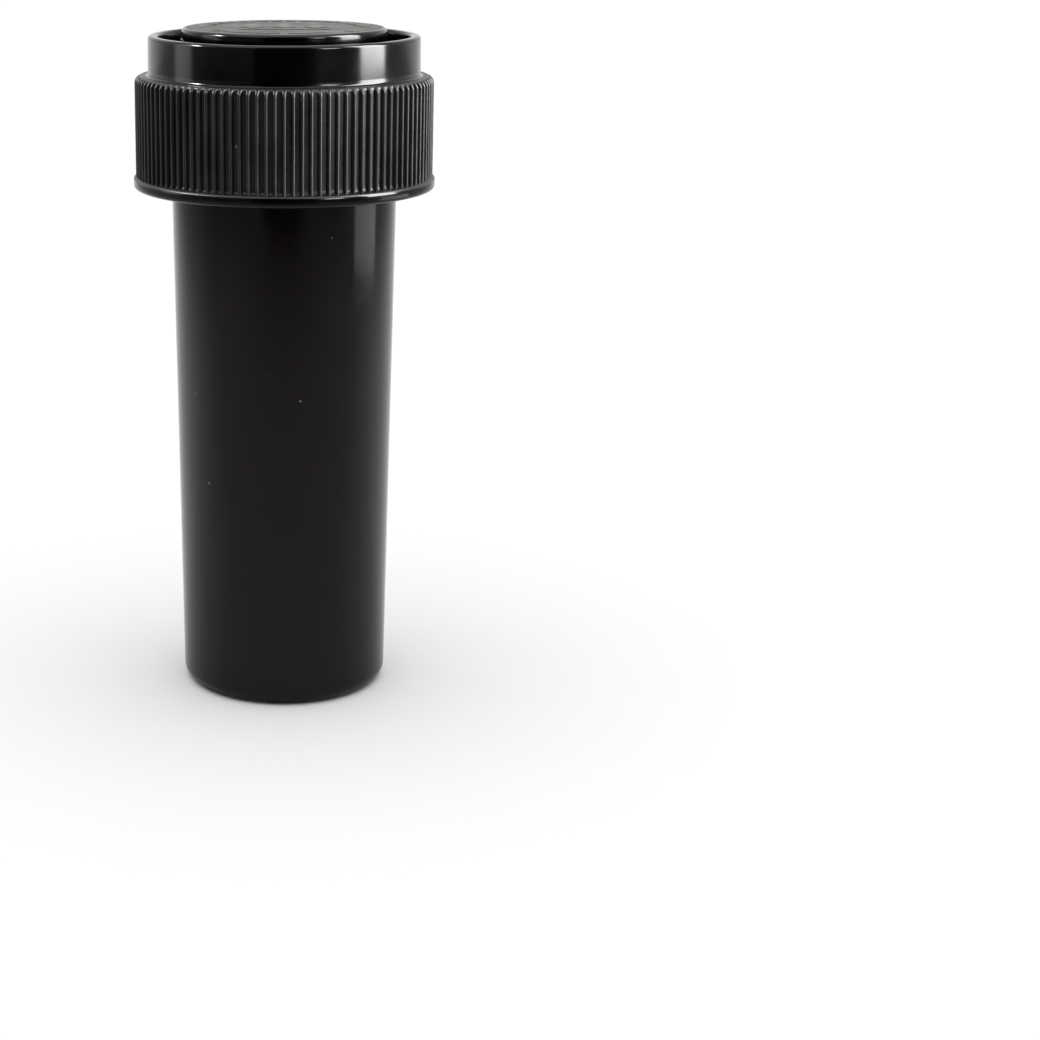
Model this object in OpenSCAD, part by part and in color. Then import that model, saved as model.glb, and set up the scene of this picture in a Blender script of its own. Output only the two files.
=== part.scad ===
// Eight-dram prescription vial with a reversible push-and-turn cap.
// The origin is the centre of the foot, +Z runs up the axis and -Y is the front.
// The cap is drawn pushed fully down, with its four lugs in the gaps between the vial's bayonet lugs.

/* [Vial tube] */
// Height from the foot to the rim of the mouth
vial_h = 73.3; // [55:0.1:110]
// Outside diameter just under the neck
tube_top_d = 27.3; // [24:0.1:34]
// Outside diameter at the foot, smaller by the moulding draft
tube_foot_d = 25.5; // [22:0.1:32]
// Wall thickness of the tube
tube_wall = 1.3; // [0.8:0.1:2]
// Thickness of the floor
floor_t = 1.5; // [1:0.1:4]
// Radius of the foot's outer edge
foot_r = 1.8; // [0.4:0.1:2.4]
// Radius of the corner inside, between floor and wall
floor_r = 0.5; // [0.2:0.1:1.5]
// Depth of the hollow under the foot
foot_hollow = 0.4; // [0.2:0.1:0.8]
// Width of the ring that the vial stands on
foot_ring_w = 1.6; // [1:0.1:3]

/* [Neck] */
// Step out from the tube to the neck
neck_step = 0.3; // [0.1:0.05:0.6]
// Height of the neck, from the rim down to the tube
neck_h = 9.3; // [8.4:0.1:12]
// Step out from the neck to the collar round the mouth
collar_step = 0.25; // [0.1:0.05:0.6]
// Height of the collar
collar_h = 4.5; // [4.2:0.1:6]
// Wall thickness of the collar
collar_wall = 1.45; // [0.9:0.05:1.8]
// Rounding of the rim
rim_r = 0.3; // [0.1:0.05:0.4]

/* [Bayonet lugs on the vial] */
// Number of bayonet lugs, the same on the vial and in the cap
lug_count = 4; // [3:1:4]
// How far a lug stands out from the collar
lug_out = 1.75; // [1.6:0.1:2.6]
// From the rim down to the top of a lug's arm
arm_drop = 3.6; // [3:0.1:5]
// Thickness of an arm
arm_t = 1.5; // [1:0.1:2]
// Angle that a lug covers
lug_angle = 52; // [48:1:56]
// Angle from the middle of the front lug's stop post to the front
post_offset = 29; // [25:1:31]
// Angle that a stop post covers
post_angle = 4; // [3:0.5:6]
// Angle of the notch where a cap lug locks
notch_angle = 6.5; // [6:0.5:8]
// Angle of the tooth that holds it there
tooth_angle = 9.5; // [7:0.5:12]
// How far the tooth hangs under the arm
tooth_drop = 1.3; // [0.8:0.1:2]

/* [Screw thread, used with the cap upside down] */
// Rise of the thread in one turn
thread_pitch = 1.7; // [1.4:0.1:2.2]
// Height of a thread rib above its wall
thread_h = 0.33; // [0.2:0.01:0.5]
// Width of a thread rib where it meets its wall
thread_w = 0.9; // [0.6:0.1:1.2]
// Turns of thread in the mouth
mouth_turns = 2; // [1.5:0.25:2.25]
// Turns of thread on the plug
plug_turns = 1.25; // [1:0.25:1.5]
// From the rim down to the top end of the thread in the mouth
mouth_thread_drop = 0.75; // [0.6:0.05:1.2]
// From the top of the ring wall down to the top end of the plug's thread
plug_thread_drop = 0.6; // [0.4:0.05:1.2]
// Angle of the top end of the thread in the mouth
mouth_thread_end = 51; // [0:1:359]
// Angle of the top end of the plug's thread
plug_thread_end = 200; // [0:1:359]

/* [Cap] */
// Wall thickness of the skirt at the bottom of the grooves
skirt_wall = 1.25; // [1:0.05:1.8]
// How far the skirt reaches down past the lugs inside it
skirt_past_lugs = 1.65; // [0.5:0.05:4]
// Thickness of the deck
deck_t = 1.2; // [0.9:0.1:2]
// Number of grip ribs
rib_count = 108; // [60:1:120]
// How far a grip rib stands out
rib_h = 0.45; // [0.2:0.05:0.7]
// Rounding at the top of the grip ribs
rib_top_r = 0.8; // [0.8:0.1:1.5]
// How far the bottom bead stands out from the grip ribs
bead_out = 0.3; // [0.1:0.05:0.5]
// Height of the bottom bead
bead_h = 1.6; // [1:0.1:2.4]
// Width of the ledge between the grip ribs and the ring wall
ledge_w = 1.6; // [1.1:0.05:1.9]
// Height of the ring wall above the deck
ring_h = 4.7; // [3.5:0.1:5.7]
// Thickness of the ring wall
ring_wall = 1.3; // [0.9:0.1:1.6]
// Gap between the plug's wall and the wall of the mouth
plug_gap = 0.5; // [0.4:0.01:0.6]
// How far the plug's face stands above the ring wall
plug_rise = 0.9; // [0.4:0.1:2]
// Thickness of the plug's wall and face
plug_wall = 1.3; // [0.9:0.1:1.8]

/* [Lugs in the cap] */
// Width of a lug
cap_lug_w = 1.2; // [1:0.05:1.3]
// Height of a lug
cap_lug_h = 2.4; // [1.8:0.1:2.6]
// Play between a lug's top and the tooth that it passes under
tooth_play = 0.15; // [0.1:0.05:0.3]

/* [Seal and spring] */
// Thickness of the seal disc
seal_t = 0.7; // [0.5:0.05:1]
// Height of the spring ring with the cap pushed down
spring_h = 0.9; // [0.8:0.05:1.2]
// Thickness of the spring ring
spring_t = 0.35; // [0.25:0.05:0.5]
// Width of the spring ring's flat edges
spring_flat_w = 1.2; // [0.8:0.1:1.5]
// Gap between the seal's edge and the skirt
seal_gap = 0.85; // [0.5:0.05:1.2]
// How far the retaining ring in the skirt reaches under the seal
retainer_grip = 0.4; // [0.2:0.05:0.6]
// Height of the retaining ring's edge
retainer_h = 0.6; // [0.4:0.05:0.8]
// Depth of the seal's locating ring in the mouth
locator_h = 1; // [0.6:0.1:1.4]
// Width of the locating ring
locator_w = 0.8; // [0.6:0.1:1.2]

/* [Printed marks] */
// Width of a printed stroke
stroke_w = 0.6; // [0.4:0.05:0.9]
// Thickness of the ink
ink_t = 0.05; // [0.03:0.01:0.1]
// From the plug's edge in to the circle that the curved marks follow
mark_inset = 2.6; // [2:0.1:4]
// Number of dashes in the turn-over mark
dash_count = 14; // [8:1:20]
// Width of the bar under the push arrows
bar_w = 10.8; // [8:0.1:12]

/* [Fits] */
// Radial gap between parts that pass one another
pass_gap = 0.3; // [0.2:0.05:0.5]
// Gap between a cap lug and what it passes or stops against
lug_gap = 0.1; // [0.05:0.05:0.2]

/* [Hidden] */
$fn = 96;

// Small common sizes
sink = 0.2;
small_gap = 0.2;
corner_r = 0.3;
crest_ease = 0.04;
corner_steps = 4;
foot_steps = 6;
thread_steps = 24;

// Shares of one grip rib's pitch, either side of its middle
rib_crest = 0.16;
rib_base = 0.34;
// From the ledge down to where the tops of the grip ribs end
rib_drop = 0.1;

// Radii of the neck and the mouth
tube_r = tube_top_d / 2;
neck_r = tube_r + neck_step;
collar_r = neck_r + collar_step;
mouth_r = collar_r - collar_wall;
bore_top_r = tube_r - tube_wall;
bore_foot_r = tube_foot_d / 2 - tube_wall;
lug_r = collar_r + lug_out;

// Heights on the vial
step_z = vial_h - neck_h;
collar_z = vial_h - collar_h;
arm_top_z = vial_h - arm_drop;
arm_z = arm_top_z - arm_t;
tooth_z = arm_z - tooth_drop;

// Angles: a lug runs from its stop post at the clockwise end to its open end
post_start = -90 - post_offset - post_angle / 2;
lug_pitch = 360 / lug_count;
entry_angle = post_start + lug_angle + (lug_pitch - lug_angle) / 2;

// Heights on the cap, from the stack of seal and spring on the rim
seal_z = vial_h;
spring_z = seal_z + seal_t;
deck_z = spring_z + spring_h;
ledge_z = deck_z + deck_t;
ring_z = ledge_z + ring_h;
face_z = ring_z + plug_rise;
cap_lug_top_z = tooth_z - tooth_play;
skirt_z = cap_lug_top_z - cap_lug_h - skirt_past_lugs;
push_travel = arm_z - lug_gap - cap_lug_top_z;
retainer_top_z = seal_z - push_travel - lug_gap;

// Radii on the cap, from the lugs that pass inside the skirt
skirt_in_r = lug_r + pass_gap;
groove_r = skirt_in_r + skirt_wall;
rib_r = groove_r + rib_h;
bead_r = rib_r + bead_out;
ring_r = rib_r - ledge_w;
rib_round = min(rib_top_r, ledge_w - 0.1);
bead_round = 0.8 * bead_out;
plug_r = mouth_r - plug_gap;
cap_lug_in_r = collar_r + pass_gap;
mark_r = plug_r - mark_inset;

// Seal, its retaining ring in the skirt and the spring over it
seal_r = skirt_in_r - seal_gap;
retainer_in_r = seal_r - retainer_grip;
locator_r = mouth_r - thread_h - small_gap;
spring_low_r = plug_r - plug_wall - spring_flat_w - small_gap;
spring_high_r = seal_r - 2 * corner_r;

// Points of a quarter round, from angle a to angle b about a centre
function arc(cx, cy, r, a, b, n = corner_steps) =
    [for (i = [0:n]) [cx + r * cos(a + (b - a) * i / n), cy + r * sin(a + (b - a) * i / n)]];

// Four corners of a thread rib's section at one step along its helix
function rib_section(wall_r, out, height, angle, z) =
    let (root = wall_r - out * sink,
         crest = wall_r + out * height,
         low = min(root, crest),
         high = max(root, crest),
         low_w = (low == root ? thread_w : thread_w / 2) / 2,
         high_w = (high == root ? thread_w : thread_w / 2) / 2)
    [for (p = [[low, -low_w], [high, -high_w], [high, high_w], [low, low_w]])
        [p[0] * cos(angle), p[0] * sin(angle), z + p[1]]];

// A right-handed thread rib; out is 1 on a plug and -1 in a hole, and both ends fade into the wall
module thread_rib(wall_r, out, z, turns, end_angle) {
    steps = turns * thread_steps;
    fade_steps = thread_steps / 6;
    sections = [for (i = [0:steps])
        let (fade = min(1, i / fade_steps, (steps - i) / fade_steps))
        rib_section(wall_r, out, thread_h * fade - (1 - fade) * sink / 2,
                    end_angle - 360 * (turns - i / thread_steps), z + thread_pitch * i / thread_steps)];
    points = [for (s = sections) each s];
    sides = [for (i = [0:steps - 1]) for (k = [0:3])
        [4 * i + k, 4 * i + 4 + k, 4 * i + 4 + (k + 1) % 4, 4 * i + (k + 1) % 4]];
    polyhedron(points, concat(sides, [[0, 1, 2, 3]], [[for (k = [3:-1:0]) 4 * steps + k]]));
}

// A block that fills an angle between two radii and two heights
module sector(r_in, r_out, z_low, z_high, start, angle) {
    rotate([0, 0, start])
        rotate_extrude(angle = angle)
            translate([r_in, z_low])
                square([r_out - r_in, z_high - z_low]);
}

// One bayonet lug of the vial: stop post, notch, tooth and arm
module bayonet_lug() {
    in_r = neck_r - sink;
    tooth_start = post_start + post_angle + notch_angle;
    sector(in_r, lug_r, arm_z, arm_top_z, post_start, lug_angle);
    sector(in_r, lug_r, step_z, arm_top_z, post_start, post_angle);
    sector(in_r, lug_r - sink, tooth_z, arm_z + sink, tooth_start, tooth_angle);
}

module vial_body() {
    hollow_r = tube_foot_d / 2 - foot_r - foot_ring_w;
    outside = concat(
        [[0, foot_hollow], [hollow_r - foot_hollow, foot_hollow], [hollow_r, 0]],
        arc(tube_foot_d / 2 - foot_r, foot_r, foot_r, -90, 0, foot_steps),
        [[tube_r, step_z], [neck_r, step_z + neck_step],
         [neck_r, collar_z], [collar_r, collar_z + collar_step]],
        arc(collar_r - rim_r, vial_h - rim_r, rim_r, 0, 90));
    inside = concat(
        arc(mouth_r + rim_r, vial_h - rim_r, rim_r, 90, 180),
        [[mouth_r, collar_z], [bore_top_r, collar_z - (mouth_r - bore_top_r)]],
        arc(bore_foot_r - floor_r, floor_t + floor_r, floor_r, 0, -90),
        [[0, floor_t]]);
    color("#1c1a19")
        union() {
            rotate_extrude()
                polygon(concat(outside, inside));
            for (i = [0:lug_count - 1])
                rotate([0, 0, lug_pitch * i])
                    bayonet_lug();
            thread_rib(mouth_r, -1, vial_h - mouth_thread_drop - mouth_turns * thread_pitch,
                       mouth_turns, mouth_thread_end);
        }
}

// Star outline of the grip ribs, two corners on each crest and two in each groove
function rib_outline() =
    let (low = groove_r - sink,
         corners = [[-rib_base, low], [-rib_crest, rib_r], [rib_crest, rib_r], [rib_base, low]])
    [for (i = [0:rib_count - 1]) for (c = corners)
        let (a = 360 * (i + c[0]) / rib_count)
        [c[1] * cos(a), c[1] * sin(a)]];

// The grip ribs, rounded over at the top and standing on the bead
module grip_ribs() {
    inner_r = groove_r - 2 * sink;
    low_z = skirt_z + bead_h - sink;
    round_z = ledge_z - rib_drop - rib_round;
    intersection() {
        translate([0, 0, low_z])
            linear_extrude(ledge_z - low_z)
                difference() {
                    polygon(rib_outline());
                    circle(inner_r);
                }
        rotate_extrude()
            polygon(concat([[inner_r - sink, skirt_z], [rib_r + corner_r, skirt_z],
                            [rib_r + corner_r, round_z]],
                           arc(rib_r - rib_round + crest_ease, round_z, rib_round, 0, 75),
                           [[inner_r - sink, ledge_z - rib_drop]]));
    }
}

// A narrow upright lug inside the skirt
module cap_lug() {
    rotate([0, 0, entry_angle])
        intersection() {
            translate([cap_lug_in_r, -cap_lug_w / 2, cap_lug_top_z - cap_lug_h])
                cube([skirt_in_r + sink - cap_lug_in_r, cap_lug_w, cap_lug_h]);
            cylinder(r = skirt_in_r + sink, h = vial_h);
        }
}

module cap_shell() {
    groove_top_r = rib_round - rib_h;
    plug_in_r = plug_r - plug_wall;
    section = concat(
        [[0, face_z - plug_wall], [plug_in_r, face_z - plug_wall], [plug_in_r, deck_z], [skirt_in_r, deck_z],
         [skirt_in_r, retainer_top_z], [retainer_in_r, retainer_top_z - sink / 2],
         [retainer_in_r, retainer_top_z - retainer_h], [skirt_in_r, retainer_top_z - 2 * retainer_h],
         [skirt_in_r, skirt_z]],
        arc(bead_r - corner_r, skirt_z + corner_r, corner_r, -90, 0),
        arc(bead_r - bead_round, skirt_z + bead_h - bead_round, bead_round, 0, 90),
        [[groove_r, skirt_z + bead_h]],
        arc(groove_r - groove_top_r, ledge_z - groove_top_r, groove_top_r, 0, 90),
        [[ring_r, ledge_z]],
        arc(ring_r - corner_r, ring_z - corner_r, corner_r, 0, 90),
        arc(ring_r - ring_wall + corner_r, ring_z - corner_r, corner_r, 90, 180),
        [[ring_r - ring_wall, ledge_z], [plug_r, ledge_z]],
        arc(plug_r - corner_r, face_z - corner_r, corner_r, 0, 90),
        [[0, face_z]]);
    color("#202022")
        union() {
            rotate_extrude()
                polygon(section);
            grip_ribs();
            for (i = [0:lug_count - 1])
                rotate([0, 0, lug_pitch * i])
                    cap_lug();
            thread_rib(plug_r, 1, ring_z - plug_thread_drop - plug_turns * thread_pitch,
                       plug_turns, plug_thread_end);
        }
}

module seal_disc() {
    locator_in_r = locator_r - locator_w;
    locator_z = seal_z - locator_h;
    color("#e8e6df")
        rotate_extrude()
            polygon([[0, seal_z], [locator_in_r, seal_z], [locator_in_r, locator_z],
                     [locator_r - corner_r, locator_z], [locator_r, locator_z + corner_r],
                     [locator_r, seal_z], [seal_r, seal_z], [seal_r, spring_z], [0, spring_z]]);
}

module spring_ring() {
    color("#d8d7d2")
        rotate_extrude()
            polygon([[spring_low_r, spring_z], [spring_low_r + spring_flat_w, spring_z],
                     [spring_high_r, deck_z - spring_t], [spring_high_r, deck_z],
                     [spring_high_r - spring_flat_w, deck_z], [spring_low_r, spring_z + spring_t]]);
}

// A printed stroke along an arc of the plug's face
module arc_stroke(start, angle, w = stroke_w) {
    sector(mark_r - w / 2, mark_r + w / 2, face_z, face_z + ink_t, start, angle);
}

// A printed arrowhead on the marks' circle, pointing along an angle
module arrowhead(at, pointing, size) {
    rotate([0, 0, at])
        translate([mark_r, 0, face_z])
            rotate([0, 0, pointing - at])
                linear_extrude(ink_t)
                    polygon([[0, -size / 2], [size, 0], [0, size / 2]]);
}

// A printed dot on the marks' circle, with a hole in it if hole_r is not 0
module dot(at, hole_r = 0) {
    rotate([0, 0, at])
        translate([mark_r, 0, face_z])
            linear_extrude(ink_t)
                difference() {
                    circle(1.5 * stroke_w);
                    if (hole_r > 0)
                        circle(hole_r);
                }
}

// A double-headed row of dashes over the top of the face: turn the cap over
module mark_flip() {
    first = 14;
    last = 166;
    dash_pitch = (last - first) / dash_count;
    dash_share = 0.68;
    dash_w = 1.9 * stroke_w;
    head = 4 * stroke_w;
    color("#8a8458") {
        for (i = [0:dash_count - 1])
            arc_stroke(first + dash_pitch * (i + (1 - dash_share) / 2), dash_pitch * dash_share, dash_w);
        arrowhead(first - 1, first - 91, head);
        arrowhead(last + 1, last + 91, head);
    }
}

// Three arrows onto a bar: push down
module mark_push() {
    bar_h = 1.6 * stroke_w;
    bar_y = -3.7;
    arrow_y = bar_y + bar_h + stroke_w;
    arrow_h = 7.6;
    head_w = 2.8;
    head_h = 2.2;
    stem_w = 2 * stroke_w;
    color("#8a8458")
        translate([0, 0, face_z])
            linear_extrude(ink_t) {
                translate([-bar_w / 2, bar_y])
                    square([bar_w, bar_h]);
                for (i = [-1:1])
                    translate([i * bar_w * 0.35, arrow_y])
                        polygon([[-head_w / 2, head_h], [0, 0], [head_w / 2, head_h], [stem_w / 2, head_h],
                                 [stem_w / 2, arrow_h], [-stem_w / 2, arrow_h], [-stem_w / 2, head_h]]);
            }
}

// A ring and a curved arrow that runs anticlockwise: open
module mark_open() {
    color("#8a8458") {
        arc_stroke(224, 32);
        arrowhead(255, 345, 3.4 * stroke_w);
        dot(216, 0.7 * stroke_w);
    }
}

// A dot and a curved arrow that runs clockwise: close
module mark_close() {
    color("#8a8458") {
        arc_stroke(284, 32);
        arrowhead(285, 195, 3.4 * stroke_w);
        dot(324);
    }
}

vial_body();
cap_shell();
seal_disc();
spring_ring();
mark_flip();
mark_push();
mark_open();
mark_close();
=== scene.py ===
import math

import bpy
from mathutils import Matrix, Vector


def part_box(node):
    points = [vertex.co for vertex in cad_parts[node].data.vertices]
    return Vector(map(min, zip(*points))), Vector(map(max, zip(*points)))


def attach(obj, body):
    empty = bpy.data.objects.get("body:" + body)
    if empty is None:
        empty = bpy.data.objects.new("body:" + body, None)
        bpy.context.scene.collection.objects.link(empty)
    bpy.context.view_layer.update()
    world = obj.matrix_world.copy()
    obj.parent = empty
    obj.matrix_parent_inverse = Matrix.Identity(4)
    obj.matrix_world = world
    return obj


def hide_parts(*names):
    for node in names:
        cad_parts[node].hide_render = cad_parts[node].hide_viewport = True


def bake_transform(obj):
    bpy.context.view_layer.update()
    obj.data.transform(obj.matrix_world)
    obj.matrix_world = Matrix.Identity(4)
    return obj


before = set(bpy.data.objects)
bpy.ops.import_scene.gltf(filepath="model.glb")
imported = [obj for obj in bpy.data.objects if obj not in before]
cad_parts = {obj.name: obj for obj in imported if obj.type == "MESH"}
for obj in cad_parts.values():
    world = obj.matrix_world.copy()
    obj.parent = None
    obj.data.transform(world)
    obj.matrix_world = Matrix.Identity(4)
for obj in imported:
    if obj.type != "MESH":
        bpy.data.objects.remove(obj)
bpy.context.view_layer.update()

# The studio: a pale floor that runs out of sight, a broad light overhead, tall soft boxes at the
# sides with smaller lamps between them, and a dark card and a mat with painted shade in front,
# which only reflections see, so that the black plastic keeps a dark middle.
mm = 0.001
eye_back = 263.7 * mm
eye_height = 101.4 * mm
eye_pitch = 15.19
bpy.ops.object.select_all(action="DESELECT")
bpy.ops.object.camera_add(
    location=(0, -eye_back, eye_height), rotation=(math.radians(90 - eye_pitch), 0, 0)
)
camera = bpy.context.object
camera.data.sensor_width = 36
camera.data.lens = 75.37
camera.data.shift_x = 0.2267
camera.data.shift_y = -0.0702
camera.data.clip_start = 10 * mm
bpy.context.scene.camera = camera

floor_size = 8
bpy.ops.mesh.primitive_plane_add(size=floor_size)
floor = bpy.context.object
floor.name = "studio_floor"
paper = bpy.data.materials.new("white paper")
paper.use_nodes = True
paper_shader = paper.node_tree.nodes["Principled BSDF"]
paper_shader.inputs["Base Color"].default_value = (0.9, 0.9, 0.9, 1)
paper_shader.inputs["Roughness"].default_value = 0.9
paper_shader.inputs["Specular IOR Level"].default_value = 0.1
floor.data.materials.append(paper)

# The room is white, but dim in front, where the camera and its stand take up the light.
dim_front, bright_back = 0.06, 1.0
room = bpy.data.worlds.new("studio room")
room.use_nodes = True
backdrop = room.node_tree.nodes["Background"]
backdrop.inputs["Color"].default_value = (1, 1, 1, 1)
direction = room.node_tree.nodes.new("ShaderNodeTexCoord")
front_to_back = room.node_tree.nodes.new("ShaderNodeSeparateXYZ")
brightness = room.node_tree.nodes.new("ShaderNodeMapRange")
brightness.inputs["From Min"].default_value = -1
brightness.inputs["To Min"].default_value = dim_front
brightness.inputs["To Max"].default_value = bright_back
room.node_tree.links.new(direction.outputs["Generated"], front_to_back.inputs[0])
room.node_tree.links.new(front_to_back.outputs["Y"], brightness.inputs["Value"])
room.node_tree.links.new(brightness.outputs["Result"], backdrop.inputs["Strength"])
bpy.context.scene.world = room
bpy.context.scene.view_settings.view_transform = "Standard"


def soft_box(name, angle, height, width, tall, power, distance=0.42):
    """A soft box at an angle round the vial from the front, turned to face its cap."""
    turn = math.radians(angle)
    place = (distance * math.sin(turn), -distance * math.cos(turn), height)
    cap_height = 0.08
    tilt = math.atan2(height - cap_height, distance)
    bpy.ops.object.light_add(
        type="AREA", location=place, rotation=(math.pi / 2 - tilt, 0, turn)
    )
    box = bpy.context.object
    box.name = name
    box.data.shape = "RECTANGLE"
    box.data.size = width
    box.data.size_y = tall
    box.data.energy = power
    box.visible_camera = False
    box.visible_diffuse = False
    return box


soft_box("box_right", angle=78, height=0.24, width=0.22, tall=0.42, power=8.5)
soft_box("box_left", angle=-92, height=0.22, width=0.16, tall=0.40, power=0.4)
soft_box("box_front", angle=38, height=0.18, width=0.10, tall=0.10, power=0.8)
soft_box("lamp_left", angle=-86, height=0.34, width=0.06, tall=0.06, power=2.4)
soft_box("box_low", angle=90, height=0.016, width=0.13, tall=0.024, power=0.024, distance=0.25)

sun_lean, sun_spread = 12, 80
bpy.ops.object.light_add(type="SUN", rotation=(math.radians(sun_lean), 0, 0))
overhead = bpy.context.object
overhead.name = "overhead"
overhead.data.energy = 2.0
overhead.data.angle = math.radians(sun_spread)

# The dark card stands behind the camera, and both of its ends are slightly rounded.
card_width, card_tall, card_back, card_curve = 0.27, 0.45, 0.29, 0.012
bpy.ops.mesh.primitive_circle_add(vertices=48, radius=1, fill_type="NGON")
card = bpy.context.object
card.name = "dark_card"
for corner in card.data.vertices:
    x, up = corner.co.x * card_width / 2, corner.co.y
    z = card_curve * (1 + up) if up < 0.01 else card_tall + card_curve * up
    corner.co = (x, -card_back, z)
black_felt = bpy.data.materials.new("black felt")
black_felt.use_nodes = True
felt_shader = black_felt.node_tree.nodes["Principled BSDF"]
felt_shader.inputs["Base Color"].default_value = (0.004, 0.004, 0.004, 1)
felt_shader.inputs["Roughness"].default_value = 1
felt_shader.inputs["Specular IOR Level"].default_value = 0
card.data.materials.append(black_felt)

# A mat with painted shade lies on the floor: it fades from the floor's white to dark, forwards
# under the card and to both sides, so that the tube reflects a dim room in front and a bright
# floor near its foot.
mat_front, mat_back, mat_side, mat_lift = -2, 0.6, 2, 0.5 * mm
bpy.ops.mesh.primitive_plane_add(size=1)
mat = bpy.context.object
mat.name = "painted_shade_mat"
for corner in mat.data.vertices:
    side = mat_side if corner.co.x > 0 else -mat_side
    corner.co = (side, mat_back if corner.co.y > 0 else mat_front, mat_lift)
painted_shade_paper = bpy.data.materials.new("painted shade paper")
painted_shade_paper.use_nodes = True
fading = painted_shade_paper.node_tree.nodes
painted_shade_shader = fading["Principled BSDF"]
painted_shade_shader.inputs["Roughness"].default_value = 1
painted_shade_shader.inputs["Specular IOR Level"].default_value = 0
mat_place = fading.new("ShaderNodeTexCoord")
mat_axes = fading.new("ShaderNodeSeparateXYZ")
# The mat's colour is painted shade, darker forwards and towards both sides.
forwards = fading.new("ShaderNodeMapRange")
forwards.inputs["From Min"].default_value = 0.03
forwards.inputs["From Max"].default_value = -0.5
front_fade = fading.new("ShaderNodeValToRGB")
front_fade.color_ramp.elements[0].color = (0.9, 0.9, 0.9, 1)
front_fade.color_ramp.elements[1].color = (0.12, 0.116, 0.11, 1)
for stop, grey in ((0.14, 0.64), (0.35, 0.50), (0.53, 0.27)):
    front_fade.color_ramp.elements.new(stop).color = (grey, 0.95 * grey, 0.91 * grey, 1)
away = fading.new("ShaderNodeMath")
away.operation = "ABSOLUTE"
sideways = fading.new("ShaderNodeMapRange")
sideways.interpolation_type = "SMOOTHSTEP"
sideways.inputs["From Min"].default_value = 0.15
sideways.inputs["From Max"].default_value = 0.36
sideways.inputs["To Min"].default_value = 1
sideways.inputs["To Max"].default_value = 0.4
both_ways = fading.new("ShaderNodeVectorMath")
both_ways.operation = "SCALE"
painted_shade_paper.node_tree.links.new(mat_place.outputs["Object"], mat_axes.inputs[0])
painted_shade_paper.node_tree.links.new(mat_axes.outputs["Y"], forwards.inputs["Value"])
painted_shade_paper.node_tree.links.new(forwards.outputs["Result"], front_fade.inputs["Fac"])
painted_shade_paper.node_tree.links.new(mat_axes.outputs["X"], away.inputs[0])
painted_shade_paper.node_tree.links.new(away.outputs[0], sideways.inputs["Value"])
painted_shade_paper.node_tree.links.new(front_fade.outputs["Color"], both_ways.inputs["Vector"])
painted_shade_paper.node_tree.links.new(sideways.outputs["Result"], both_ways.inputs["Scale"])
painted_shade_paper.node_tree.links.new(both_ways.outputs[0], painted_shade_shader.inputs["Base Color"])
mat.data.materials.append(painted_shade_paper)
for flag in (card, mat):
    flag.visible_camera = False
    flag.visible_shadow = False
    flag.visible_diffuse = False


# The vial's body: tube, neck, collar and mouth are one injection moulding in opaque black
# polypropylene. It is drawn thinner towards the foot so that it leaves its mould, and the gate
# has left a small round mark in the hollow under the foot.
def arc(x, z, radius, start, end, steps=5):
    """Points along a round stretch of an outline, between two angles in degrees."""
    turns = [math.radians(start + (end - start) * i / steps) for i in range(steps + 1)]
    return [(x + radius * math.cos(a), z + radius * math.sin(a)) for a in turns]


def edit(piece):
    """Only this piece is selected, and it is open in edit mode with nothing selected."""
    bpy.ops.object.select_all(action="DESELECT")
    piece.select_set(True)
    bpy.context.view_layer.objects.active = piece
    bpy.ops.object.mode_set(mode="EDIT")
    bpy.ops.mesh.select_all(action="DESELECT")


def tidy_shell():
    """In edit mode: doubles are merged, loose edges go, and faces point outwards."""
    bpy.ops.mesh.select_all(action="SELECT")
    bpy.ops.mesh.remove_doubles(threshold=0.001 * mm)
    bpy.ops.mesh.delete_loose()
    bpy.ops.mesh.select_all(action="SELECT")
    bpy.ops.mesh.normals_make_consistent(inside=False)
    bpy.ops.object.mode_set(mode="OBJECT")


def outline_ring(name, outline):
    """A closed wire ring with one point for each point of an outline in mm, in the XZ plane."""
    bpy.ops.object.select_all(action="DESELECT")
    bpy.ops.mesh.primitive_circle_add(vertices=len(outline), radius=1)
    piece = bpy.context.object
    piece.name = piece.data.name = name
    for point, (x, z) in zip(piece.data.vertices, outline):
        point.co = (x * mm, 0, z * mm)
    return piece


def turned(name, outline, steps=192):
    """A round piece: its outline spun once round the axis."""
    piece = outline_ring(name, outline)
    edit(piece)
    bpy.ops.mesh.select_all(action="SELECT")
    bpy.ops.mesh.spin(steps=steps, angle=2 * math.pi, center=(0, 0, 0), axis=(0, 0, 1))
    tidy_shell()
    return piece


def smooth(piece, angle=32):
    """Smooth shading that keeps crisp corners and flat faces flat."""
    bpy.ops.object.select_all(action="DESELECT")
    piece.select_set(True)
    bpy.context.view_layer.objects.active = piece
    bpy.ops.object.shade_smooth_by_angle(angle=math.radians(angle))
    bpy.ops.object.modifier_add(type="WEIGHTED_NORMAL")
    piece.modifiers[-1].keep_sharp = True
    bpy.ops.object.modifier_apply(modifier=piece.modifiers[-1].name)
    return piece


def new_group(name, inputs, outputs):
    """An empty shader node group with named sockets, and its input and output nodes."""
    group = bpy.data.node_groups.new(name, "ShaderNodeTree")
    for socket, kind in inputs:
        group.interface.new_socket(socket, in_out="INPUT", socket_type=kind)
    for socket, kind in outputs:
        group.interface.new_socket(socket, in_out="OUTPUT", socket_type=kind)
    return group, group.nodes.new("NodeGroupInput"), group.nodes.new("NodeGroupOutput")


def put(tree, kind, settings=(), **sockets):
    """A node with its settings and sockets; a socket given another node's output is linked."""
    node = tree.nodes.new(kind)
    for setting, value in dict(settings).items():
        setattr(node, setting, value)
    for name, value in sockets.items():
        name = name.replace("_", " ")
        socket = node.inputs[int(name[1:])] if name[1:].isdigit() else node.inputs[name]
        if isinstance(value, bpy.types.NodeSocket):
            tree.links.new(value, socket)
        else:
            socket.default_value = value
    return node


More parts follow.
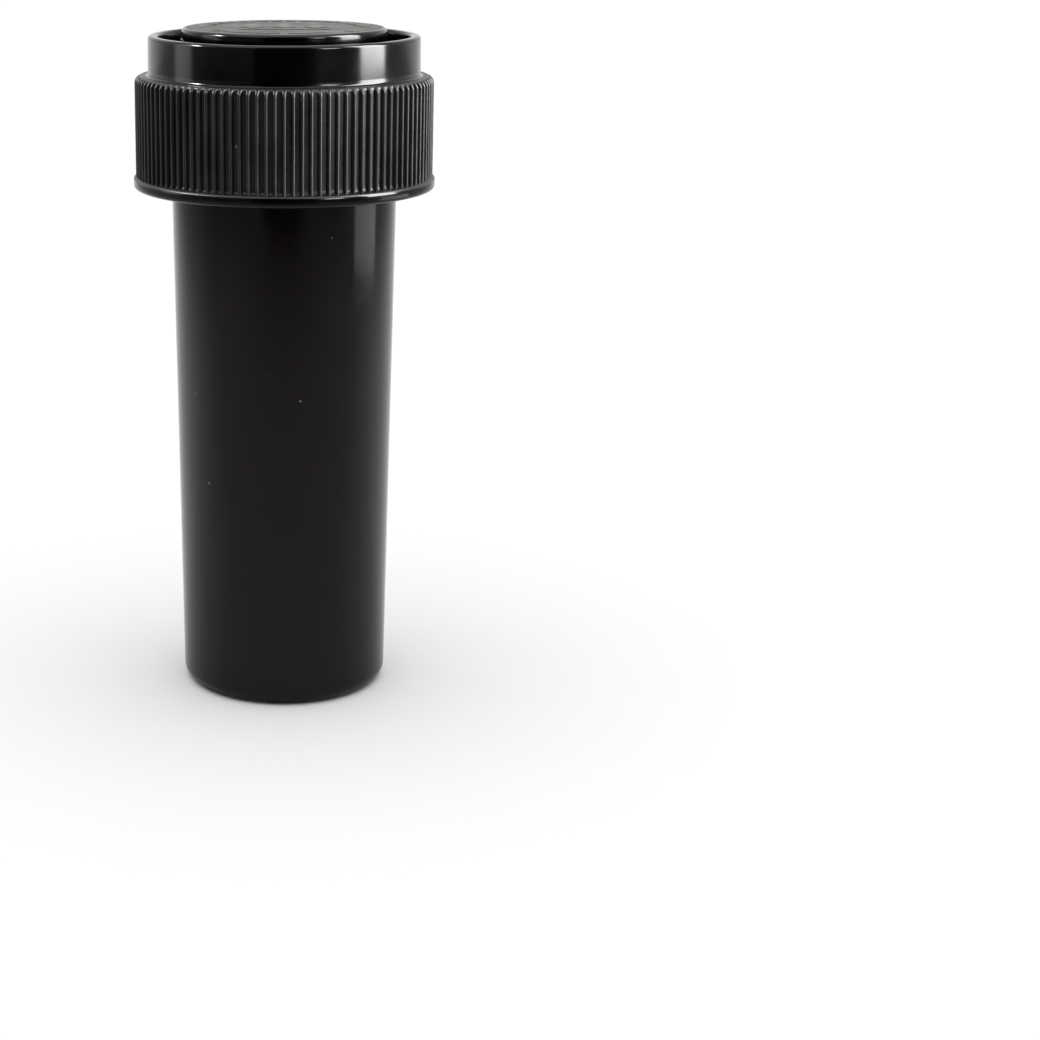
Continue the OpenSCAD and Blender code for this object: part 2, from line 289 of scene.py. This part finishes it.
def maths(tree, operation, a, b=0.0, clamp=False):
    """The output of a Math node."""
    settings = {"operation": operation, "use_clamp": clamp}
    return put(tree, "ShaderNodeMath", settings, i0=a, i1=b).outputs[0]


def scaled(tree, vector, factor):
    """A vector times a number."""
    node = put(tree, "ShaderNodeVectorMath", {"operation": "SCALE"}, Vector=vector, Scale=factor)
    return node.outputs[0]


def mixed(tree, amount, first, second):
    """A colour between two others."""
    node = put(tree, "ShaderNodeMix", {"data_type": "RGBA"}, i0=amount, i6=first, i7=second)
    return node.outputs[2]


def between(tree, value, low, high):
    """A mask that runs smoothly from 0 at low to 1 at high."""
    node = put(tree, "ShaderNodeMapRange", {"interpolation_type": "SMOOTHSTEP"}, Value=value)
    node.inputs["From Min"].default_value = low
    node.inputs["From Max"].default_value = high
    return node.outputs["Result"]


VECTOR, FLOAT = "NodeSocketVector", "NodeSocketFloat"
to_mm = 1000.0

# Skin of a moulding: slow waves from uneven shrinkage, fine peel from the mould's polish, and a
# haze that changes the gloss from place to place. Heights are in mm.
skin, skin_in, skin_out = new_group(
    "mould skin",
    [("Place", VECTOR), ("Wave", FLOAT), ("Peel", FLOAT), ("Peel Scale", FLOAT)],
    [("Height", FLOAT), ("Haze", FLOAT)],
)
skin_mm = scaled(skin, skin_in.outputs["Place"], to_mm)
drawn_out = put(skin, "ShaderNodeMapping", Vector=skin_mm, Scale=(1, 1, 0.3)).outputs[0]
waves = put(skin, "ShaderNodeTexNoise", Vector=drawn_out, Scale=0.16, Detail=1.0)
peel_scale = skin_in.outputs["Peel Scale"]
peel = put(skin, "ShaderNodeTexNoise", Vector=skin_mm, Scale=peel_scale, Detail=2.0)
haze = put(skin, "ShaderNodeTexNoise", Vector=skin_mm, Scale=0.22, Detail=5.0, Roughness=0.6)
wave_height = maths(skin, "MULTIPLY", waves.outputs["Fac"], skin_in.outputs["Wave"])
peel_height = maths(skin, "MULTIPLY", peel.outputs["Fac"], skin_in.outputs["Peel"])
skin.links.new(maths(skin, "ADD", wave_height, peel_height), skin_out.inputs["Height"])
skin.links.new(between(skin, haze.outputs["Fac"], 0.36, 0.66), skin_out.inputs["Haze"])

# Dust and lint caught on the plastic by its static charge: a few pale specks, no two alike.
dust, dust_in, dust_out = new_group(
    "dust specks", [("Place", VECTOR), ("Amount", FLOAT)], [("Mask", FLOAT)]
)
dust_mm = scaled(dust, dust_in.outputs["Place"], to_mm)
bent = put(dust, "ShaderNodeTexNoise", Vector=dust_mm, Scale=5.0, Detail=1.0)
bend = scaled(dust, bent.outputs["Color"], 0.12)
frayed = put(dust, "ShaderNodeVectorMath", {"operation": "ADD"}, i0=dust_mm, i1=bend)
specks = put(dust, "ShaderNodeTexVoronoi", Vector=frayed.outputs[0], Scale=0.55)
chance = put(dust, "ShaderNodeSeparateColor", Color=specks.outputs["Color"])
kept = maths(dust, "LESS_THAN", chance.outputs[0], dust_in.outputs["Amount"])
grain = maths(dust, "MULTIPLY_ADD", chance.outputs[1], 0.05)
grain.node.inputs[2].default_value = 0.03
near = maths(dust, "LESS_THAN", specks.outputs["Distance"], grain)
dust.links.new(maths(dust, "MULTIPLY", near, kept), dust_out.inputs["Mask"])

# Hairline scuffs from handling and from rubbing against other vials in the carton.
scuffs, scuffs_in, scuffs_out = new_group(
    "hairline scuffs", [("Place", VECTOR), ("Amount", FLOAT)], [("Mask", FLOAT)]
)
scuffs_mm = scaled(scuffs, scuffs_in.outputs["Place"], to_mm)
hairline = 0.0016
lines = []
for lean, stretch in ((0.4, 0.05), (-0.9, 0.08), (1.5, 0.06)):
    leaning = put(scuffs, "ShaderNodeMapping", Vector=scuffs_mm, Rotation=(lean, lean / 2, 0))
    leaning.inputs["Scale"].default_value = (1, 1, stretch)
    ridges = put(scuffs, "ShaderNodeTexNoise", Vector=leaning.outputs[0], Scale=0.9, Detail=0.0)
    offset = maths(scuffs, "SUBTRACT", ridges.outputs["Fac"], 0.5)
    lines.append(maths(scuffs, "LESS_THAN", maths(scuffs, "ABSOLUTE", offset), hairline))
rubbed = put(scuffs, "ShaderNodeTexNoise", Vector=scuffs_mm, Scale=0.13, Detail=2.0)
where = between(scuffs, rubbed.outputs["Fac"], 0.5, 0.62)
all_lines = maths(scuffs, "MAXIMUM", maths(scuffs, "MAXIMUM", lines[0], lines[1]), lines[2])
faint = maths(scuffs, "MULTIPLY", all_lines, where)
scuffs.links.new(
    maths(scuffs, "MULTIPLY", faint, scuffs_in.outputs["Amount"]), scuffs_out.inputs["Mask"]
)


def moulded(
    name, colour, hazed, gloss, haze_gloss, wave, peel, peel_scale, dusty, scuffed, specular=0.5
):
    """Moulded plastic: colours are linear, gloss values are roughness, heights are in mm."""
    material = bpy.data.materials.new(name)
    material.use_nodes = True
    tree = material.node_tree
    shader = tree.nodes["Principled BSDF"]
    shader.inputs["Specular IOR Level"].default_value = specular
    dust_colour = (0.16, 0.16, 0.15, 1)
    group = "ShaderNodeGroup"
    place = put(tree, "ShaderNodeTexCoord").outputs["Object"]
    skin_node = put(tree, group, {"node_tree": skin}, Place=place, Wave=wave, Peel=peel)
    skin_node.inputs["Peel Scale"].default_value = peel_scale
    dust_mask = put(tree, group, {"node_tree": dust}, Place=place, Amount=dusty).outputs[0]
    scuff_mask = put(tree, group, {"node_tree": scuffs}, Place=place, Amount=scuffed).outputs[0]
    tint = mixed(tree, skin_node.outputs["Haze"], (*colour, 1), (*hazed, 1))
    dusted = mixed(tree, dust_mask, tint, dust_colour)
    tree.links.new(dusted, shader.inputs["Base Color"])
    base_rough = put(tree, "ShaderNodeMapRange", Value=skin_node.outputs["Haze"])
    base_rough.inputs["To Min"].default_value = gloss
    base_rough.inputs["To Max"].default_value = gloss + haze_gloss
    scuff_rough = maths(tree, "MULTIPLY", scuff_mask, 0.1)
    dust_rough = maths(tree, "MULTIPLY", dust_mask, 0.6)
    rough = maths(tree, "ADD", base_rough.outputs["Result"], scuff_rough)
    tree.links.new(maths(tree, "ADD", rough, dust_rough, True), shader.inputs["Roughness"])
    height = skin_node.outputs["Height"]
    bump = put(tree, "ShaderNodeBump", Strength=1.0, Distance=mm, Height=height)
    tree.links.new(bump.outputs[0], shader.inputs["Normal"])
    return material


rim_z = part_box("vial_body")[1].z / mm
foot_r, foot_ring_w, foot_hollow = 12.75, 1.6, 0.4
foot_round = 1.8
tube_r, neck_r, collar_r = 13.65, 13.95, 14.2
mouth_r, bore_top_r, bore_foot_r = 12.75, 12.35, 11.45
floor_z = 1.5
step_z = rim_z - 9.3
collar_z = rim_z - 4.5
stand_r = foot_r - foot_round
hollow_r = stand_r - foot_ring_w
gate_r, gate_h = 0.8, 0.14
edge_round, stand_round, rim_round, mouth_round, floor_round = 0.12, 0.15, 0.4, 0.25, 0.5

vial_outline = [
    (0, foot_hollow - gate_h),
    (gate_r - 0.1, foot_hollow - gate_h),
    (gate_r, foot_hollow - 0.08),
    (gate_r + 0.05, foot_hollow),
    (hollow_r - 0.55, foot_hollow),
    *arc(hollow_r - 0.55, foot_hollow - stand_round, stand_round, 90, 40, 3),
    *arc(hollow_r + 0.1, stand_round, stand_round, 215, 270, 3),
    *arc(stand_r, foot_round, foot_round, -90, 1.0, 12),
    (foot_r + 0.03, 4),
    (tube_r - 0.02, step_z - 1.2),
    (tube_r, step_z - 0.1),
    *arc(neck_r - edge_round, step_z + 0.28, edge_round, -45, 0, 3),
    (neck_r, collar_z - 0.25),
    *arc(collar_r - edge_round, collar_z + 0.1, edge_round, -45, 0, 3),
    (collar_r, rim_z - 1),
    *arc(collar_r - rim_round, rim_z - rim_round, rim_round, 0, 90, 6),
    *arc(mouth_r + mouth_round, rim_z - mouth_round, mouth_round, 90, 180, 5),
    (mouth_r, rim_z - 0.8),
    (mouth_r, collar_z + 0.1),
    *arc(mouth_r - 0.1, collar_z, 0.1, 0, -60, 3),
    (bore_top_r, collar_z - 0.4),
    (bore_top_r - 0.02, collar_z - 1.5),
    (bore_foot_r + 0.02, floor_z + 2),
    *arc(bore_foot_r - floor_round, floor_z + floor_round, floor_round, 0, -90, 6),
    (bore_foot_r - 2, floor_z),
    (0, floor_z),
]
vial_tube = smooth(turned("vial_tube", vial_outline))
black_gloss = moulded(
    "black vial plastic",
    colour=(0.0018, 0.0009, 0.0006),
    hazed=(0.0026, 0.0014, 0.0010),
    gloss=0.10,
    haze_gloss=0.04,
    wave=0.02,
    peel=0.0006,
    peel_scale=3.0,
    dusty=0.12,
    scuffed=0.5,
    specular=0.25,
)
vial_tube.data.materials.append(black_gloss)
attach(vial_tube, "vial")
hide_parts("vial_body")


# The thread in the mouth, which takes the plug when the cap is used upside down. It is moulded on
# the wall of the mouth, right-handed, and both of its ends fade away.
def thread_rib(name, wall_r, out, top_z, turns, end_angle, pitch=1.7, height=0.33, width=0.9):
    """A helical rib on a wall; out is 1 on a plug and -1 in a hole."""
    root = wall_r - out * 0.2
    crest = wall_r + out * height
    bottom_z = top_z - turns * pitch
    section = [
        (root, -width / 2),
        (crest - out * 0.1, -width / 4 - 0.03),
        (crest, -width / 4 + 0.08),
        (crest, width / 4 - 0.08),
        (crest - out * 0.1, width / 4 + 0.03),
        (root, width / 2),
    ]
    piece = outline_ring(name, [(x, bottom_z + z) for x, z in section])
    start = math.radians(end_angle - 360 * turns)
    for point in piece.data.vertices:
        x = point.co.x
        point.co.x, point.co.y = x * math.cos(start), x * math.sin(start)
    bpy.ops.object.modifier_add(type="SCREW")
    screw = piece.modifiers[-1]
    screw.angle = 2 * math.pi * turns
    screw.screw_offset = turns * pitch * mm
    screw.steps = screw.render_steps = round(64 * turns)
    bpy.ops.object.modifier_apply(modifier=screw.name)
    fade = math.radians(45)
    for point in piece.data.vertices:
        x, y, z = point.co / mm
        rise = (z - bottom_z) / pitch * 2 * math.pi
        turn = math.atan2(y, x) - start
        turn += 2 * math.pi * round((rise - turn) / (2 * math.pi))
        left = min(1, max(0, turn / fade), max(0, (2 * math.pi * turns - turn) / fade))
        reach = math.hypot(x, y)
        above = max(0, out * (reach - root))
        wanted = root + out * above * (0.3 + 0.7 * math.sin(left * math.pi / 2))
        point.co.x *= wanted / reach
        point.co.y *= wanted / reach
    edit(piece)
    bpy.ops.mesh.select_all(action="SELECT")
    bpy.ops.mesh.fill_holes(sides=len(section))
    tidy_shell()
    return smooth(piece, 40)


mouth_thread = thread_rib("mouth_thread", mouth_r, -1, rim_z - 0.75, 2, 51)
mouth_thread.data.materials.append(black_gloss)
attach(mouth_thread, "vial")

# The four bayonet lugs on the neck, moulded with the vial. Each is an arm with a stop post at its
# clockwise end and a tooth under it, and the notch between post and tooth holds a cap lug.
lug_r = 15.95
arm_top_z = rim_z - 3.6
arm_z = arm_top_z - 1.5
tooth_z = arm_z - 1.3
post_start, post_end, notch_end, tooth_end, arm_end = -121, -117, -110.5, -101, -69
lug_root_r = neck_r - 0.2
arm_steps = 8
lug_angles = [post_start, post_end, notch_end, tooth_end]
lug_angles += [tooth_end + (arm_end - tooth_end) * i / arm_steps for i in range(1, arm_steps + 1)]
lug_heights = [step_z + 0.05, tooth_z, arm_z, arm_top_z]


def bayonet_lug(name, turn):
    """A lug as a sheet on the neck with the cells of its outline, drawn outwards and rounded."""
    columns, rows = len(lug_angles), len(lug_heights)
    bpy.ops.object.select_all(action="DESELECT")
    bpy.ops.mesh.primitive_grid_add(x_subdivisions=columns - 1, y_subdivisions=rows - 1, size=1)
    piece = bpy.context.object
    piece.name = piece.data.name = name
    for i, point in enumerate(piece.data.vertices):
        a = math.radians(lug_angles[i % columns] + turn)
        r = lug_root_r * mm
        point.co = (r * math.cos(a), r * math.sin(a), lug_heights[i // columns] * mm)
    edit(piece)
    bpy.ops.mesh.select_mode(type="FACE")
    bpy.ops.object.mode_set(mode="OBJECT")
    for i, face in enumerate(piece.data.polygons):
        column, row = i % (columns - 1), i // (columns - 1)
        solid = row == 2 or column == 0 or (row == 1 and column == 2)
        face.select = not solid
    bpy.ops.object.mode_set(mode="EDIT")
    bpy.ops.mesh.delete(type="FACE")
    bpy.ops.mesh.select_all(action="SELECT")
    bpy.ops.mesh.extrude_region_move()
    grow = lug_r / lug_root_r
    bpy.ops.transform.resize(value=(grow, grow, 1), center_override=(0, 0, 0))
    bpy.ops.mesh.select_mode(type="VERT")
    tidy_shell()
    bpy.ops.object.modifier_add(type="BEVEL")
    rounding = piece.modifiers[-1]
    rounding.width = 0.2 * mm
    rounding.segments = 3
    rounding.limit_method = "ANGLE"
    rounding.angle_limit = math.radians(40)
    bpy.ops.object.modifier_apply(modifier=rounding.name)
    return smooth(piece, 40)


for i in range(4):
    vial_lug = bayonet_lug(f"vial_lug_{i + 1}", 90 * i)
    vial_lug.data.materials.append(black_gloss)
    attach(vial_lug, "vial")

# The cap's body, one moulding in black polypropylene: skirt and flared bead, the deck, the ring
# wall that becomes the inner skirt's stop when the cap is turned over, and the hollow plug.
face_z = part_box("cap_shell")[1].z / mm
skirt_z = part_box("cap_shell")[0].z / mm
bead_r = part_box("cap_shell")[1].x / mm
ring_z = face_z - 0.9
ledge_z = ring_z - 4.7
deck_z = ledge_z - 1.2
rib_r = bead_r - 0.3
groove_r = rib_r - 0.45
skirt_in_r = groove_r - 1.25
ring_r = rib_r - 1.6
ring_in_r = ring_r - 1.3
plug_r = mouth_r - 0.5
plug_in_r = plug_r - 1.3
face_round, moat_round, lip_round, ledge_round, bead_round = 0.45, 0.4, 0.35, 0.3, 0.45
retainer_z = rim_z - 1.35 - 0.1
retainer_r = skirt_in_r - 0.85 - 0.4

cap_outline = [
    (0, face_z),
    (plug_r - 1.5, face_z),
    *arc(plug_r - face_round, face_z - face_round, face_round, 90, 5, 6),
    (plug_r + 0.02, ledge_z + 0.8),
    *arc(plug_r + moat_round, ledge_z + moat_round, moat_round, 180, 270, 4),
    *arc(ring_in_r - moat_round, ledge_z + moat_round, moat_round, 270, 360, 4),
    (ring_in_r + 0.03, ring_z - 0.9),
    *arc(ring_in_r + 0.4, ring_z - lip_round, lip_round, 180, 90, 5),
    *arc(ring_r - 0.45, ring_z - 0.4, 0.4, 90, 0, 5),
    (ring_r, ledge_z + 0.7),
    *arc(ring_r + ledge_round, ledge_z + ledge_round, ledge_round, 180, 270, 3),
    *arc(groove_r - 0.4, ledge_z - 0.4, 0.4, 90, 0, 5),
    (groove_r, skirt_z + 2.3),
    *arc(groove_r + 0.5, skirt_z + 1.9, 0.5, 180, 250, 4),
    *arc(bead_r - bead_round, skirt_z + 0.98, bead_round, 60, 0, 5),
    *arc(bead_r - 0.4, skirt_z + 0.4, 0.4, 0, -90, 6),
    (skirt_in_r + 0.2, skirt_z),
    (skirt_in_r, skirt_z + 0.2),
    (skirt_in_r, retainer_z - 1.2),
    (retainer_r + 0.1, retainer_z - 0.62),
    *arc(retainer_r + 0.15, retainer_z - 0.4, 0.15, 200, 120, 3),
    (skirt_in_r, retainer_z),
    (skirt_in_r, deck_z - 0.3),
    *arc(skirt_in_r - ledge_round, deck_z - ledge_round, ledge_round, 0, 90, 3),
    (plug_in_r + 0.2, deck_z),
    (plug_in_r, deck_z + 0.2),
    *arc(plug_in_r - 0.4, face_z - 1.7, 0.4, 0, 90, 4),
    (0, face_z - 1.3),
]
cap_body = smooth(turned("cap_body", cap_outline))
cap_gloss = moulded(
    "cap plastic, polished",
    colour=(0.0008, 0.0008, 0.0009),
    hazed=(0.0014, 0.0014, 0.0016),
    gloss=0.12,
    haze_gloss=0.04,
    wave=0.012,
    peel=0.0006,
    peel_scale=3.5,
    dusty=0.2,
    scuffed=0.7,
    specular=0.3,
)
cap_satin = moulded(
    "cap plastic, satin grip",
    colour=(0.0040, 0.0043, 0.0046),
    hazed=(0.0070, 0.0073, 0.0077),
    gloss=0.33,
    haze_gloss=0.10,
    wave=0.0,
    peel=0.004,
    peel_scale=9.0,
    dusty=0.2,
    scuffed=0.4,
    specular=0.45,
)
cap_face = moulded(
    "cap plastic, fine matt face",
    colour=(0.0040, 0.0044, 0.0062),
    hazed=(0.0060, 0.0064, 0.0086),
    gloss=0.34,
    haze_gloss=0.08,
    wave=0.006,
    peel=0.003,
    peel_scale=12.0,
    dusty=0.10,
    scuffed=1.0,
    specular=0.35,
)
face_shader = cap_face.node_tree.nodes["Principled BSDF"]
face_shader.inputs["Specular Tint"].default_value = (0.92, 0.89, 1, 1)
for finish in (cap_gloss, cap_satin, cap_face):
    cap_body.data.materials.append(finish)
for face in cap_body.data.polygons:
    r = math.hypot(face.center.x, face.center.y) / mm
    z = face.center.z / mm
    if z > face_z - 0.01 and r < plug_r - 0.4:
        face.material_index = 2
    elif r > groove_r - 0.9 and skirt_z + 1.2 < z < ledge_z + 0.05:
        face.material_index = 1
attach(cap_body, "cap")
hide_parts("cap_shell")

# The grip: 108 narrow upright ribs round the skirt, rounded over at the top and running out into
# the bead at the bottom. They have a satin finish from a spark-eroded mould.
rib_count = 108
rib_pitch = 2 * math.pi * rib_r / rib_count
rib_in_r = rib_r - 0.85
rib_foot_z = skirt_z + 1.1
rib_top_round, rib_edge_round = 0.8, 0.15
rib_side = [
    (rib_in_r, rib_foot_z),
    (rib_r, rib_foot_z),
    *arc(rib_r - rib_top_round, ledge_z - 0.85, rib_top_round, 0, 80, 6),
    (rib_in_r, ledge_z - 0.3),
]
grip_ribs = outline_ring("grip_ribs", rib_side)
edit(grip_ribs)
bpy.ops.mesh.select_all(action="SELECT")
bpy.ops.mesh.edge_face_add()
bpy.ops.mesh.extrude_region_move(TRANSFORM_OT_translate={"value": (0, rib_pitch * mm, 0)})
bpy.ops.object.mode_set(mode="OBJECT")
base_w, crest_w = 0.54 * rib_pitch, 0.30 * rib_pitch
for point in grip_ribs.data.vertices:
    lift = (point.co.x / mm - groove_r) / (rib_r - groove_r)
    half = (base_w + (crest_w - base_w) * lift) / 2
    point.co.y = half * mm if point.co.y > 0.1 * mm else -half * mm
edit(grip_ribs)
bpy.ops.mesh.select_all(action="SELECT")
bpy.ops.mesh.normals_make_consistent(inside=False)
bpy.ops.mesh.select_all(action="DESELECT")
bpy.ops.mesh.select_mode(type="EDGE")
bpy.ops.object.mode_set(mode="OBJECT")
for edge in grip_ribs.data.edges:
    a, b = (grip_ribs.data.vertices[i].co for i in edge.vertices)
    outer = min(a.x, b.x) / mm > rib_in_r + 0.02
    edge.select = outer and (a.y > 0) == (b.y > 0)
bpy.ops.object.mode_set(mode="EDIT")
bpy.ops.mesh.bevel(offset=rib_edge_round * mm, segments=3, affect="EDGES")
bpy.ops.mesh.select_mode(type="VERT")
bpy.ops.mesh.select_all(action="SELECT")
bpy.ops.mesh.spin(
    steps=rib_count, angle=2 * math.pi, center=(0, 0, 0), axis=(0, 0, 1), dupli=True
)
tidy_shell()
smooth(grip_ribs, 50)
grip_ribs.data.materials.append(cap_satin)
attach(grip_ribs, "cap")

# The four lugs inside the skirt, moulded with the cap. They drop between the vial's lugs, and a
# turn brings them under its arms; the leading edge is sloped so that it finds its way.
cap_lug_top_z = tooth_z - 0.15
cap_lug_r = collar_r + 0.3
cap_lug_w, cap_lug_h, cap_lug_slope = 1.2, 2.4, 0.35
entry_angle = -50
for i in range(4):
    bpy.ops.object.select_all(action="DESELECT")
    low_z = cap_lug_top_z - cap_lug_h
    bpy.ops.mesh.primitive_cube_add(size=1)
    cap_lug = bpy.context.object
    cap_lug.name = cap_lug.data.name = f"cap_lug_{i + 1}"
    for point in cap_lug.data.vertices:
        outer, top = point.co.x > 0, point.co.z > 0
        point.co.x = (skirt_in_r + 0.3 if outer else cap_lug_r) * mm
        point.co.y *= (cap_lug_w if outer else cap_lug_w - 0.1) * mm
        point.co.z = (cap_lug_top_z if top else low_z + (0 if outer else cap_lug_slope)) * mm
    bpy.ops.object.modifier_add(type="BEVEL")
    cap_lug.modifiers[-1].width = 0.16 * mm
    cap_lug.modifiers[-1].segments = 3
    bpy.ops.object.modifier_apply(modifier=cap_lug.modifiers[-1].name)
    turn = math.radians(entry_angle + 90 * i)
    for point in cap_lug.data.vertices:
        x, y = point.co.x, point.co.y
        point.co.x = x * math.cos(turn) - y * math.sin(turn)
        point.co.y = x * math.sin(turn) + y * math.cos(turn)
    smooth(cap_lug, 40)
    cap_lug.data.materials.append(cap_gloss)
    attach(cap_lug, "cap")

# The thread on the plug's wall, down in the trough. It screws into the mouth when the cap is
# turned over for easy opening.
plug_thread = thread_rib("plug_thread", plug_r, 1, ring_z - 0.6, 1.25, 200)
plug_thread.data.materials.append(cap_gloss)
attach(plug_thread, "cap")

# The seal, a soft disc of natural polyethylene that the skirt's retaining ring holds in the cap.
# The rim has pressed a faint ring into it, and its collar centres it in the mouth.
seal_low, seal_high = (corner.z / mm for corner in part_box("seal_disc"))
seal_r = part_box("seal_disc")[1].x / mm
locator_r = mouth_r - 0.33 - 0.2
locator_in_r = locator_r - 0.8
seal_outline = [
    (0, rim_z + 0.12),
    (2.2, rim_z + 0.12),
    (2.5, rim_z),
    (8.6, rim_z),
    (8.8, rim_z + 0.1),
    (9.4, rim_z + 0.1),
    (9.6, rim_z),
    (locator_in_r - 0.2, rim_z),
    (locator_in_r, rim_z - 0.2),
    *arc(locator_in_r + 0.2, seal_low + 0.2, 0.2, 180, 270, 3),
    *arc(locator_r - 0.3, seal_low + 0.3, 0.3, 270, 360, 4),
    (locator_r, rim_z - 0.15),
    (locator_r + 0.15, rim_z + 0.01),
    (mouth_r + 0.2, rim_z + 0.01),
    (mouth_r + 0.35, rim_z + 0.06),
    (collar_r - 0.35, rim_z + 0.06),
    (collar_r - 0.2, rim_z + 0.01),
    *arc(seal_r - 0.15, rim_z + 0.15, 0.15, 270, 360, 3),
    *arc(seal_r - 0.15, seal_high - 0.15, 0.15, 0, 90, 3),
    (0, seal_high),
]
seal = smooth(turned("seal", seal_outline, 128))
seal_plastic = moulded(
    "natural polyethylene",
    colour=(0.70, 0.69, 0.65),
    hazed=(0.78, 0.77, 0.73),
    gloss=0.38,
    haze_gloss=0.12,
    wave=0.02,
    peel=0.002,
    peel_scale=5.0,
    dusty=0.0,
    scuffed=0.6,
)
seal_shader = seal_plastic.node_tree.nodes["Principled BSDF"]
seal_shader.inputs["Subsurface Weight"].default_value = 0.25
seal_shader.inputs["Subsurface Scale"].default_value = 0.6 * mm
seal.data.materials.append(seal_plastic)
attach(seal, "seal")
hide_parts("seal_disc")

# The spring, a dished ring of natural polypropylene between the seal and the deck. In the real
# cap it stretches as the cap rises and flattens as the cap is pushed down; here it has one fixed
# shape.
spring_low, spring_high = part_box("spring_ring")
spring_low_z, spring_high_z = spring_low.z / mm, spring_high.z / mm
spring_out_r = spring_high.x / mm
spring_in_r = plug_in_r - 1.4
spring_t, spring_flat_w, spring_round = 0.35, 1.2, 0.1
spring_outline = [
    *arc(spring_in_r + spring_round, spring_low_z + spring_round, spring_round, 180, 270, 2),
    (spring_in_r + spring_flat_w, spring_low_z),
    (spring_out_r - spring_round, spring_high_z - spring_t),
    *arc(spring_out_r - spring_round, spring_high_z - spring_round, spring_round, 0, 90, 2),
    (spring_out_r - spring_flat_w, spring_high_z),
    (spring_in_r + spring_round, spring_low_z + spring_t),
]
spring = smooth(turned("spring", spring_outline, 128))
spring.data.materials.append(seal_plastic)
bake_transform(spring)
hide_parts("spring_ring")

# The marks printed on the plug's face in a dull olive-gold ink, a little thin and worn.
ink = moulded(
    "olive gold ink",
    colour=(0.112, 0.100, 0.050),
    hazed=(0.080, 0.073, 0.038),
    gloss=0.36,
    haze_gloss=0.12,
    wave=0.0,
    peel=0.004,
    peel_scale=9.0,
    dusty=0.0,
    scuffed=1.0,
    specular=0.3,
)
for name in ("mark_flip", "mark_push", "mark_open", "mark_close"):
    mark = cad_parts[name]
    mark.data.materials.clear()
    mark.data.materials.append(ink)
